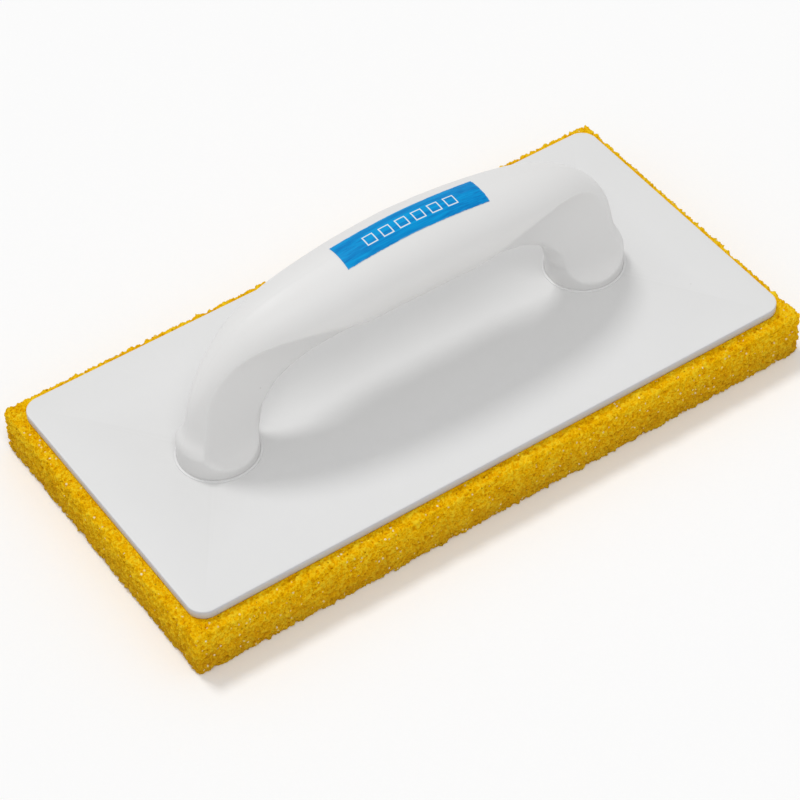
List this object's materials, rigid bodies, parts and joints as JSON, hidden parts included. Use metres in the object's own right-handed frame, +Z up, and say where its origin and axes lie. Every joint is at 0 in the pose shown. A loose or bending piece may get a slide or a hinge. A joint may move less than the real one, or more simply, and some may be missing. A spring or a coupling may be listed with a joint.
{
  "type": "sponge grout float",
  "caption": "Hand float for washing grout: a coarse foam pad under a flat rectangular plate with a curved bridge handle across its length.",
  "frame": {"origin": "middle of the foam pad's underside, which is the face that rests on the tiles", "axes": "+Z up through the handle, +X along the plate's long side, +Y across it"},
  "size_m": [0.28, 0.14, 0.0957],
  "materials": {
    "foam": "open-cell foam, matte yellow",
    "glue": "contact adhesive film",
    "plate": "smooth satin white plastic",
    "handle": "moulded satin white plastic",
    "steel": "zinc plated",
    "label": "printed foil, blue"
  },
  "bodies": {
    "pad": {"sponge_pad": "foam"},
    "float": {"adhesive_layer": "glue", "base_plate": "plate", "handle": "handle", "handle_screw_left_a": "steel", "handle_screw_left_b": "steel", "handle_screw_right_a": "steel", "handle_screw_right_b": "steel", "grip_label": "label"}
  },
  "joints": [
    {"name": "sponge_press", "type": "slide", "parent": "pad", "child": "float", "axis": [0, 0, -1], "range_m": [0, 0.008], "stiffness_N_per_m": 16000, "deforming": ["sponge_pad"]}
  ]
}
